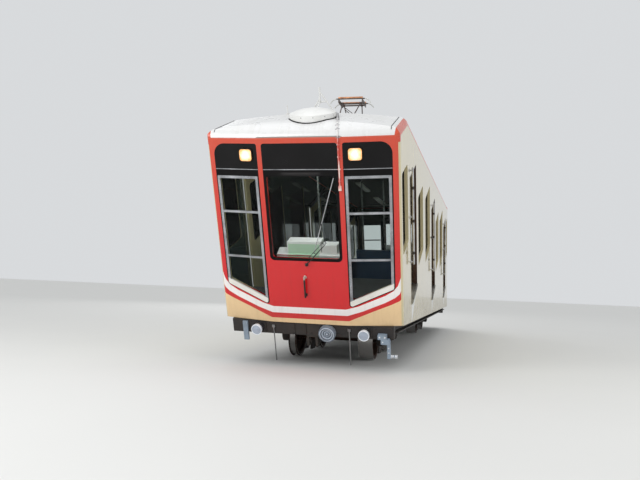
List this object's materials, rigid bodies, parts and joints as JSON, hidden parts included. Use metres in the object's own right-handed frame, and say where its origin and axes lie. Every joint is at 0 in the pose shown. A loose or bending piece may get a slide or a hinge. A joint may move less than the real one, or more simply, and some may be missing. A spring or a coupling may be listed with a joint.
{
  "type": "funicular car",
  "caption": "Stepped funicular car with a leaning box body, sliding doors, folding roof collector and two bogies with a flanged and a plain wheel on each axle.",
  "frame": {"origin": "on the floor the wheels stand on, under the middle of the car's outer box", "axes": "+Y down the track towards the lower end, +X across, +Z square to the track; the upper end is at -Y"},
  "size_m": [2.624, 11.8389, 4.3105],
  "materials": {
    "roof_white": "satin paint",
    "end_paint": "gloss paint",
    "rear_end_paint": "gloss paint",
    "end_glass": "clear",
    "sill_white": "gloss paint",
    "rubber_black": "matt",
    "door_frame_brown": "satin paint",
    "sill_aluminium": "worn",
    "frame_silver": "anodised",
    "header_black": "gloss",
    "lamp_lens": "lit lens",
    "side_paint": "gloss paint",
    "glass": "clear",
    "runner_steel": "brushed",
    "floor_grey": "matt lino",
    "frame_dark": "matt paint",
    "bench_plastic": "moulded",
    "pole_steel": "polished",
    "desk_green": "satin paint",
    "rail_steel": "polished",
    "vent_white": "satin paint",
    "mast_white": "satin paint",
    "cable_cover": "gloss paint",
    "beam_lamp_white": "gloss",
    "buffer_grey": "worn",
    "feeler_steel": "dull",
    "bracket_grey": "satin paint",
    "anchor_iron": "oiled",
    "wiper_black": "satin paint",
    "handle_black": "satin paint",
    "panto_dark": "matt paint",
    "panto_head": "worn copper",
    "bogie_dark": "oily",
    "wheel_steel": "worn tread",
    "door_paint": "gloss paint"
  },
  "bodies": {
    "car_body": {"roof": "roof_white", "front_end_shell": "end_paint", "rear_end_shell": "rear_end_paint", "end_glass": "end_glass", "end_window_frames": "frame_silver", "end_window_sills": "sill_white", "window_rubbers": "rubber_black", "header_panels": "header_black", "headlights": "lamp_lens", "right_wall": "side_paint", "left_wall": "side_paint", "side_glass": "glass", "door_runners": "runner_steel", "door_frames": "door_frame_brown", "door_sills": "sill_aluminium", "stepped_floor": "floor_grey", "floor_stringers": "frame_dark", "benches": "bench_plastic", "cabin_poles": "pole_steel", "driver_desks": "desk_green", "door_grab_rails": "rail_steel", "grab_rail_brackets": "rail_steel", "roof_ventilator": "vent_white", "roof_mast": "mast_white", "mast_cable": "cable_cover", "side_sills": "frame_dark", "cross_members": "frame_dark", "end_beams": "frame_dark", "beam_lamps": "beam_lamp_white", "ringed_buffers": "buffer_grey", "rail_feelers": "feeler_steel", "hanging_brackets": "bracket_grey", "rope_anchor": "anchor_iron", "brake_gear_box": "frame_dark", "windscreen_wiper": "wiper_black", "front_handle": "handle_black", "pantograph_base": "panto_dark"},
    "right_door_1": {"right_door_1": "door_paint", "right_door_1_glass": "glass"},
    "right_door_2": {"right_door_2": "door_paint", "right_door_2_glass": "glass"},
    "right_door_3": {"right_door_3": "door_paint", "right_door_3_glass": "glass"},
    "left_door_1": {"left_door_1": "door_paint", "left_door_1_glass": "glass"},
    "left_door_2": {"left_door_2": "door_paint", "left_door_2_glass": "glass"},
    "left_door_3": {"left_door_3": "door_paint", "left_door_3_glass": "glass"},
    "front_bogie": {"front_bogie_frame": "bogie_dark"},
    "wheelset_1": {"wheelset_1": "wheel_steel"},
    "wheelset_2": {"wheelset_2": "wheel_steel"},
    "rear_bogie": {"rear_bogie_frame": "bogie_dark"},
    "wheelset_3": {"wheelset_3": "wheel_steel"},
    "wheelset_4": {"wheelset_4": "wheel_steel"},
    "pantograph_lower_arm_front": {"pantograph_lower_arm_front": "panto_dark"},
    "pantograph_upper_arm_front": {"pantograph_upper_arm_front": "panto_dark"},
    "pantograph_lower_arm_rear": {"pantograph_lower_arm_rear": "panto_dark"},
    "pantograph_upper_arm_rear": {"pantograph_upper_arm_rear": "panto_dark"},
    "pantograph_head": {"pantograph_head": "panto_head"}
  },
  "joints": [
    {"name": "right_door_1_slide", "type": "slide", "parent": "car_body", "child": "right_door_1", "axis": [0, 0.9205, 0.3907], "range_m": [0, 0.745]},
    {"name": "right_door_2_slide", "type": "slide", "parent": "car_body", "child": "right_door_2", "axis": [0, 0.9205, 0.3907], "range_m": [0, 0.745]},
    {"name": "right_door_3_slide", "type": "slide", "parent": "car_body", "child": "right_door_3", "axis": [0, 0.9205, 0.3907], "range_m": [0, 0.745]},
    {"name": "left_door_1_slide", "type": "slide", "parent": "car_body", "child": "left_door_1", "axis": [0, 0.9205, 0.3907], "range_m": [0, 0.745]},
    {"name": "left_door_2_slide", "type": "slide", "parent": "car_body", "child": "left_door_2", "axis": [0, 0.9205, 0.3907], "range_m": [0, 0.745]},
    {"name": "left_door_3_slide", "type": "slide", "parent": "car_body", "child": "left_door_3", "axis": [0, 0.9205, 0.3907], "range_m": [0, 0.745]},
    {"name": "front_bogie_swivel", "type": "hinge", "parent": "car_body", "child": "front_bogie", "pos_m": [0, -2.73375, 0.49979], "axis": [0, 0, 1], "range_deg": [-4, 4]},
    {"name": "wheelset_1_spin", "type": "hinge", "parent": "front_bogie", "child": "wheelset_1", "pos_m": [0, -3.48375, 0.342], "axis": [1, 0, 0], "continuous": true},
    {"name": "wheelset_2_spin", "type": "hinge", "parent": "front_bogie", "child": "wheelset_2", "pos_m": [0, -1.98375, 0.342], "axis": [1, 0, 0], "continuous": true},
    {"name": "rear_bogie_swivel", "type": "hinge", "parent": "car_body", "child": "rear_bogie", "pos_m": [0, 3.5116, 0.49979], "axis": [0, 0, 1], "range_deg": [-4, 4]},
    {"name": "wheelset_3_spin", "type": "hinge", "parent": "rear_bogie", "child": "wheelset_3", "pos_m": [0, 2.7616, 0.342], "axis": [1, 0, 0], "continuous": true},
    {"name": "wheelset_4_spin", "type": "hinge", "parent": "rear_bogie", "child": "wheelset_4", "pos_m": [0, 4.2616, 0.342], "axis": [1, 0, 0], "continuous": true},
    {"name": "pantograph_rise", "type": "hinge", "parent": "car_body", "child": "pantograph_lower_arm_front", "pos_m": [0, -2.752, 3.55604], "axis": [-1, 0, 0], "range_deg": [-29, 22]},
    {"name": "pantograph_front_knee", "type": "hinge", "parent": "pantograph_lower_arm_front", "child": "pantograph_upper_arm_front", "pos_m": [0, -3.15034, 3.89029], "axis": [1, 0, 0], "range_deg": [-58, 44]},
    {"name": "pantograph_head_pivot", "type": "hinge", "parent": "pantograph_upper_arm_front", "child": "pantograph_head", "pos_m": [0, -2.752, 4.22454], "axis": [-1, 0, 0], "range_deg": [-29, 22]},
    {"name": "pantograph_rear_foot", "type": "hinge", "parent": "car_body", "child": "pantograph_lower_arm_rear", "pos_m": [0, -2.612, 3.55604], "axis": [1, 0, 0], "range_deg": [-29, 22]},
    {"name": "pantograph_rear_knee", "type": "hinge", "parent": "pantograph_lower_arm_rear", "child": "pantograph_upper_arm_rear", "pos_m": [0, -2.21366, 3.89029], "axis": [-1, 0, 0], "range_deg": [-58, 44]}
  ],
  "couplings": [
    {"joint": "pantograph_front_knee", "follows": "pantograph_rise", "ratio": 2},
    {"joint": "pantograph_head_pivot", "follows": "pantograph_rise", "ratio": 1},
    {"joint": "pantograph_rear_foot", "follows": "pantograph_rise", "ratio": 1},
    {"joint": "pantograph_rear_knee", "follows": "pantograph_rise", "ratio": 2}
  ]
}
